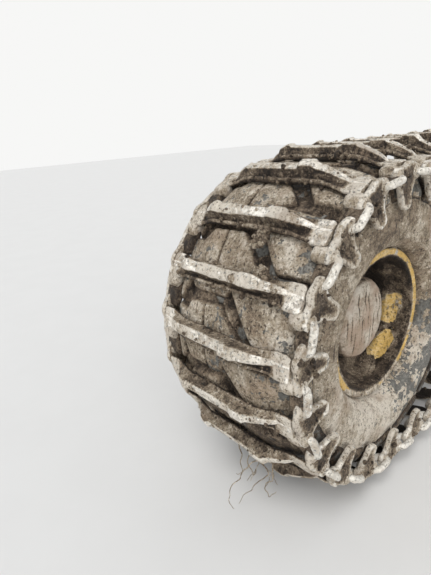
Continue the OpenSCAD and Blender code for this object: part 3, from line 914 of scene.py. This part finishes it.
def track_clods():
    """Clods beside the ribs and on them and on the side plates, with a hanging lump and a heap in front."""
    shape = Shape()
    chance = np.random.default_rng(11)

    def scatter(at, x, y, z, sizes, tone):
        add_clods(shape, on_loop(at, xyz(x, y, z)), sizes, chance, tone)

    beside, above, on_side, in_lump = 42, 12, 16, 90
    for index in range(SHOES):
        at = shoe_at(index)
        y = np.clip(chance.normal(-0.02, 0.16, beside), -0.3, 0.3)
        x = np.where(chance.random(beside) < 0.72, chance.uniform(-0.052, -0.022, beside),
                     chance.uniform(0.030, 0.048, beside))
        flat = abs(y) < 0.2
        z = np.where(flat, BAR_TOP, END_Z + 0.004) + chance.uniform(-0.012, 0.012, beside)
        clear = z - np.where(flat, BAR_Z, BAR_Z - 0.025)
        scatter(at, x, y, z, np.minimum(chance.gamma(2.2, 0.0034, beside) + 0.002, clear), 0.32)
        if loop_at(at)[1] >= -0.5:
            y = chance.uniform(-0.28, 0.28, above)
            x = RIB_X + chance.uniform(-0.02, 0.02, above)
            z = station(y, 4)
            scatter(at, x, y, z, chance.gamma(2.0, 0.0026, above) + 0.0015, 0.5)
        for hand in (-1, 1):
            x = chance.uniform(-0.05, 0.05, on_side)
            z = chance.uniform(-0.07, 0.03, on_side)
            y = hand * (SIDE_Y + PLATE_T / 2 + chance.uniform(-0.006, 0.002, on_side))
            scatter(at, x, y, z, chance.gamma(2.2, 0.0026, on_side) + 0.002, 0.3)
    drop = chance.uniform(0, 1, in_lump)
    y = -0.125 + chance.normal(0, 0.012, in_lump) * (1.4 - 0.6 * drop)
    z = BAR_Z + 0.034 + chance.uniform(-0.006, 0.010, in_lump)
    scatter(shoe_at(2), -0.05 - 0.085 * drop, y, z, chance.uniform(0.005, 0.014, in_lump), 0.52)
    heap = chance.uniform(0, 1, in_lump)
    y = -0.185 + chance.normal(0, 0.022, in_lump) * (1.3 - heap)
    z = BAR_Z + 0.026 + chance.uniform(-0.004, 0.012, in_lump) * (1 - heap)
    scatter(shoe_at(3), 0.036 + 0.045 * heap, y, z, chance.uniform(0.004, 0.012, in_lump), 0.52)
    return shape.build("track_clods", CLAY, 80)


def tread_clods(side, name):
    """Clods in the tyre's grooves and on its lugs."""
    shape = Shape()
    chance = np.random.default_rng(17 + side)
    count = 620
    across = chance.uniform(-0.29, 0.29, count)
    turn = chance.uniform(0, 2 * pi, count)
    on_top = chance.random(count) < 0.45
    places = over_tyre(side, across, 0, np.where(on_top, 0.035, 0.012), turn)
    sizes = np.minimum(chance.gamma(2.0, 0.0032, count) + 0.002, np.where(on_top, 0.0045, 0.014))
    add_clods(shape, places, sizes, chance, 0.38)
    return shape.build(name, CLAY, 80)


# Roots: number of the shoe, place across the track and length
ROOTS = [(6, -0.21, 0.24), (6, -0.16, 0.36), (6, -0.14, 0.28), (6, -0.12, 0.42), (6, -0.11, 0.30),
         (6, -0.06, 0.24), (6, 0.03, 0.26), (7, -0.04, 0.20), (18, 0.12, 0.22)]
ROOT_R = 0.0034


def track_roots():
    """Dry roots that the lowest bars have dragged up, hanging to the ground in loose curves."""
    shape = Shape()
    chance = np.random.default_rng(29)
    steps, sides = 22, 6
    spin = circle(sides)[:, None]
    for index, y, length in ROOTS:
        heading = np.array([chance.uniform(-0.6, 0.1), chance.uniform(-0.9, 0.9), -0.4])
        line = [on_loop(shoe_at(index), (-0.035, y, BAR_Z + 0.03))]
        for _ in range(steps):
            heading = heading * 0.84 + (0, 0, -0.10) + chance.normal(0, 0.21, 3)
            step = heading / np.linalg.norm(heading) * length / steps
            line.append(line[-1] + step * (1, 1, 1 if line[-1][2] > GROUND_Z + 0.015 else 0))
        line = np.array(line)
        ahead = unit(np.gradient(line, axis=0))
        across = unit(np.cross(ahead, (0.3, 0.2, 1.0)))
        over = np.cross(ahead, across)
        radius = ROOT_R * np.linspace(1, 0.35, len(line))[:, None, None]
        tube = line[:, None] + radius * (across[:, None] * np.cos(spin) + over[:, None] * np.sin(spin))
        shape.add(tube, grid_quads(len(line), sides), tone=0.62)
    return shape.build("track_roots", CLAY, 80)


# Wheels

def paint_patch(turn, w, angle, place, skew, ragged):
    """How far points lie in a patch of bare paint: an oval, slanted by skew, with a ragged edge."""
    along = turn - angle
    along = np.arctan2(np.sin(along), np.cos(along)) + skew * (w - place)
    return 1 - ramp(np.hypot(along / 0.30, (w - place) / 0.056) + ragged, 0.85, 1.05)


def rim(side, name):
    """Rim: seats, flanges and well as one rolled plate, crusted inside, its paint worn."""
    half = RIM_W / 2
    seat, well = SEAT_R - RIM_T, SEAT_R - 0.022 - RIM_T
    outer = [(half - RIM_T, SEAT_R + 0.002), (half - RIM_T, LIP_R - 0.012), (half - 0.009, LIP_R - 0.003),
             (half - 0.002, LIP_R), (half + 0.004, LIP_R - 0.008), (half + 0.002, LIP_R - 0.016),
             (half - 0.001, SEAT_R - 0.006), (half - 0.004, seat), (half - 0.088, seat),
             (half - 0.130, well), (0, well)]
    profile = outer + [(-w, r) for w, r in outer[-2::-1]]
    w, r, turn, quads = revolved(smooth_line(profile, 0.007, 0.006).T, 180)
    rest = on_wheel(side, r, w, turn)
    lumps = fbm(rest, 13, 3, 81)
    fine = fbm(rest, 60, 2, 83)
    inner = ramp(SEAT_R - 0.004 - r, 0, 0.004)
    face = 1 - inner
    low = ramp(-np.sin(turn), 0.55, 0.95)
    r = r - inner * (0.004 + 0.006 * ramp(lumps, -0.2, 0.6)) - 0.0009 * fine
    w = w + np.sign(w) * face * (0.0008 * fine + 0.003 * low * ramp(lumps, -0.4, 0.4))
    ragged = 0.34 * fbm(rest @ ASKEW, 21, 4, 85)
    upper = paint_patch(turn, w, radians(-5), 0.196, -1.3, ragged)
    lower = paint_patch(turn, w, radians(-47), 0.200, -2.6, ragged)
    tan = ramp(np.cos(turn - radians(-22)), 0.72, 0.95) * ramp(w, 0.10, 0.16)
    crust = 0.24 * ramp(lumps, -0.1, 0.5) + 0.20 * tan + 0.34 * (upper + lower)
    tone = 0.03 + inner * crust + face * (0.80 - 0.05 * low)
    bare = inner * (0.02 + 0.66 * upper + 0.86 * lower) + face * (0.66 - 0.34 * low)
    return Shape().add(on_wheel(side, r, w, turn), quads, tone=tone, bare=bare).build(name, CLAY_YELLOW, 60)


def rim_mud(side, name):
    """Mud that lies on the disc and heaps up at the rim's bottom."""
    first, last = COVER_R - 0.01, SEAT_R - RIM_T - 0.012
    r, turn, quads = revolved([np.linspace(first, last, 22)], 220)
    rest = on_wheel(side, r, 0, turn)
    lumps = fbm(rest, 9, 4, 91)
    share = (r - first) / (last - first)
    low = ramp(-np.sin(turn + 0.25), 0.35, 0.98)
    w = DISC_Y + 0.012 + 0.018 * lumps + 0.007 * fbm(rest, 42, 3, 93)
    w = w + 0.115 * low * (0.45 + 0.55 * share ** 1.5) + 0.06 * ramp(share, 0.75, 1.0) ** 2
    tone = 0.10 + 0.16 * low + 0.14 * ramp(lumps, 0.1, 0.6)
    return Shape().add(on_wheel(side, r, w, turn), quads, tone=tone).build(name, CLAY, 80)


# Cracks in the cake on a hub: place across it, lowest and highest point
CRACKS = [(-0.13, -0.06, 0.05), (-0.10, -0.10, 0.06), (-0.07, -0.15, -0.03), (-0.045, -0.02, 0.15),
          (-0.012, -0.13, 0.02), (0.012, 0.03, 0.15), (0.04, -0.06, 0.13), (0.06, -0.15, -0.04),
          (0.085, -0.13, 0.03), (0.10, 0.04, 0.12), (0.125, -0.04, 0.11)]


def hub_cake(side, name):
    """Planetary cover under a smooth cake of mud, cracked from top to bottom."""
    drum = [(DISC_Y - 0.018, COVER_R), (COVER_Y - 0.035, COVER_R), (COVER_Y - 0.010, COVER_R - 0.014),
            (COVER_Y, COVER_R - 0.045), (COVER_Y + 0.002, 0.001)]
    w, r, turn, quads = revolved(smooth_line(drum, 0.0045, 0.018).T, 150)
    rest = on_wheel(side, r, w, turn)
    lumps = fbm(rest, 8, 3, 101)
    rough = fbm(rest * (1, 1, 0.35), 55, 3, 103)
    across = r * np.cos(turn) + 0.012 * fbm(rest * (0.4, 0.4, 1), 14, 2, 105)
    high = r * np.sin(turn)
    cracks = np.zeros(len(r))
    for place, low, top in CRACKS:
        reach = ramp(high, low, low + 0.03) * (1 - ramp(high, top - 0.03, top))
        cracks = np.maximum(cracks, reach * (1 - ramp(abs(across - place), 0.001, 0.005)))
    front = ramp(w, COVER_Y - 0.03, COVER_Y - 0.008)
    w = w + front * (0.004 * lumps + 0.0020 * rough - 0.0035 * cracks)
    outline = fbm(xyz(np.cos(turn), np.sin(turn), 0), 1.6, 3, 107)
    edge = ramp(r, 0.09, COVER_R - 0.012) * ramp(w, DISC_Y + 0.04, DISC_Y + 0.08)
    r = r + edge * (0.012 + 0.012 * outline + 0.002 * rough)
    tone = 0.34 + 0.60 * front + 0.06 * lumps + 0.14 * rough - 0.8 * cracks * front
    return Shape().add(on_wheel(side, r, w, turn), quads, tone=tone).build(name, CAKE, 60)


# Fasteners and welds

# Rings up a hexagon nut and its washer, in shares of its size: height, radius and whether it has six sides
NUT_RINGS = [(0.0, 1.33, False), (0.15, 1.33, False), (0.2, 1.0, True), (1.05, 1.0, True), (1.2, 0.92, True),
             (1.2, 0.64, False), (1.6, 0.64, False), (1.7, 0.54, False), (1.7, 0.005, False)]
WHEEL_NUT = 0.0195
COVER_BOLT = 0.0098
TOP_BOLT = 0.0085
COVER_BOLT_R = 0.139
# Twelve bolts or nuts on a circle
BOLT_TURNS = circle(12) + pi / 12
WELD_R = 0.008


def hexagon(shape, place, outward, size, turn, tone=0.2, bare=0.3):
    """Hexagon nut on a washer, with the end of its stud.

    It faces +Y where outward is 1, -Y where it is -1, and +Z where it is 2.
    """
    spin = circle(24)
    six = size / np.cos((spin + turn) % (pi / 3) - pi / 6)
    rings = [(height, radius * (six if sided else size)) for height, radius, sided in NUT_RINGS]
    points = np.concatenate([round_y(r, size * height, spin) for height, r in rings])
    if outward == 2:
        points = points[:, [0, 2, 1]]
    elif outward == -1:
        points = points * (1, -1, 1)
    shape.add(points + place, faced(grid_quads(len(rings), 24), outward != -1), tone=tone, bare=bare)


def hex_nuts(side, name):
    shape = Shape()
    for k, place in enumerate(on_wheel(side, STUD_R, DISC_Y, BOLT_TURNS)):
        hexagon(shape, place, -1, WHEEL_NUT, 0.2 * k)
    return shape.build(name, CLAY_STEEL, 35)


def case_bolts():
    """Bolts of the gear case's covers."""
    shape = Shape()
    for node in ("front_side_cover", "rear_side_cover"):
        centre, face = middle(node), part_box(node)[1].y - 0.002
        for k, place in enumerate(round_y(COVER_BOLT_R, face, BOLT_TURNS) + (centre.x, 0, centre.z)):
            hexagon(shape, place, 1, COVER_BOLT, 0.31 * k, 0.45, 0.5)
    low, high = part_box("top_cover")
    for x in np.linspace(low.x + 0.018, high.x - 0.018, 5):
        for y in (low.y + 0.016, high.y - 0.016):
            hexagon(shape, (x, y, high.z), 2, TOP_BOLT, 7 * x, 0.45, 0.5)
    return shape.build("case_bolts", CLAY_STEEL, 35)


def case_seams():
    """Weld bead where the swing housing meets the case."""
    low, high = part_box("swing_housing")
    steps, sides = 200, 8
    spin = circle(sides)
    turn = circle(steps)[:, None]
    bead = WELD_R * (1 + 0.16 * np.sin(turn * 66))
    out = (high.x - low.x) / 2 + bead * np.cos(spin)
    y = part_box("bogie_case")[1].y + bead * np.sin(spin)
    quads = grid_quads(steps + 1, sides) % (steps * sides)
    return Shape().add(round_y(out, y, turn), quads, tone=0.4, bare=0.6).build("case_seams", CASE_PAINT, 80)


# Pieces

for side, place in ((-1, "front"), (1, "rear")):
    wheel = place + "_wheel"
    for piece, node, slot in ((tyre(side, place + "_tyre_lugged"), "tyre", "tyre"),
                              (rim(side, place + "_rim_rolled"), "rim", "wheel_paint"),
                              (hub_cake(side, place + "_hub_cake"), "hub_cover", "cast_steel"),
                              (hex_nuts(side, place + "_hex_nuts"), "nuts", "steel"),
                              (rim_mud(side, place + "_rim_mud"), None, "cast_steel"),
                              (tread_clods(side, place + "_tread_clods"), None, "tyre")):
        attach(piece, wheel)
        if node:
            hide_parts(place + "_" + node)

for piece in (track_bars(), track_sides(), track_links(), track_bosses(), track_clods(), track_roots()):
    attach(piece, "bogie")
    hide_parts("track")

for piece, slot in ((case_bolts(), "steel"), (case_seams(), "machine_paint")):
    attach(piece, "bogie")

for material, nodes in ((CASE_PAINT, ("bogie_case", "swing_housing")),
                        (COVER_PAINT, ("front_side_cover", "rear_side_cover", "top_cover", "belly_guard")),
                        (DARK_STEEL, ("axle_flange", "axle_tube", "front_hub", "rear_hub")),
                        (DARK_STEEL, ("front_spindle", "rear_spindle")),
                        (BRIGHT_STEEL, ("drive_shaft",)),
                        (YELLOW_PAINT, ("front_disc", "rear_disc"))):
    for node in nodes:
        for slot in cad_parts[node].material_slots:
            slot.material = material


# Stage

FLOOR_HALF = 30
FLOOR_TONES = (0.700, 0.690, 0.670), (0.712, 0.702, 0.682)
SKY_LIGHT = (0.93, 0.96, 1.0, 1)
SKY_SHOWN = (0.93, 0.93, 0.92, 1)
CAMERA_PLACE = (-2.5875, -2.0694, 0.9105)
# Turn about Z from -Y, height above level, and roll
CAMERA_ANGLES = (-40.2, 19.48, -3.7)
CAMERA_LENS = 28.0


def floor():
    mesh = bpy.data.meshes.new("floor")
    corners = [(x * FLOOR_HALF, y * FLOOR_HALF, GROUND_Z) for x, y in ((-1, -1), (1, -1), (1, 1), (-1, 1))]
    mesh.from_pydata(corners, [], [(0, 1, 2, 3)])
    n = Surface("floor")
    n.set("Roughness", 0.9)
    n.set("Base Color", n.blend(n.band(n.noise(2.5, 3), 0.3, 0.7), *FLOOR_TONES))
    mesh.materials.append(n.material)
    ground = in_scene("floor", mesh)


def sky():
    """Light from all round, and a pale background where the camera, gloss or glass sees it."""
    world = bpy.data.worlds.new("studio")
    n = Nodes(world)
    rays = n.add("ShaderNodeLightPath").outputs
    seen = n.math("MAXIMUM", rays["Is Camera Ray"], rays["Is Glossy Ray"])
    seen = n.math("MAXIMUM", seen, rays["Is Transmission Ray"])
    mix = n.add("ShaderNodeMixShader")
    n.join(seen, mix.inputs[0])
    for k, (colour, strength) in enumerate(((SKY_LIGHT, 0.68), (SKY_SHOWN, 1.0))):
        light = n.add("ShaderNodeBackground")
        n.join(colour, light.inputs["Color"])
        n.join(strength, light.inputs["Strength"])
        n.join(light.outputs[0], mix.inputs[k + 1])
    n.join(mix.outputs[0], n.add("ShaderNodeOutputWorld").inputs["Surface"])
    bpy.context.scene.world = world


def lamp(name, direction, strength, spread):
    """Soft sun that shines from a direction."""
    data = bpy.data.lights.new(name, "SUN")
    data.energy = strength
    data.angle = radians(spread)
    sun = in_scene(name, data)
    sun.rotation_mode = "QUATERNION"
    sun.rotation_quaternion = Vector(direction).to_track_quat("Z", "Y")


def camera():
    """Camera at the photograph's angle, a little rolled."""
    azimuth, height, roll = [radians(angle) for angle in CAMERA_ANGLES]
    right = Vector((cos(azimuth), sin(azimuth), 0))
    level = Vector((sin(azimuth), -cos(azimuth), 0))
    back = cos(height) * level + Vector((0, 0, sin(height)))
    up = back.cross(right)
    across = cos(roll) * right + sin(roll) * up
    upright = cos(roll) * up - sin(roll) * right
    data = bpy.data.cameras.new("camera")
    data.lens = CAMERA_LENS
    data.sensor_width = 36
    view = in_scene("camera", data)
    turn = Matrix((across, upright, back)).transposed().to_4x4()
    view.matrix_world = Matrix.Translation(CAMERA_PLACE) @ turn
    bpy.context.scene.camera = view


floor()
sky()
lamp("soft_key", (-0.55, -0.25, 1.0), 1.25, 30)
lamp("soft_fill", (-0.7, -1.0, 0.5), 1.2, 60)
camera()
bpy.context.scene.view_settings.view_transform = "Standard"
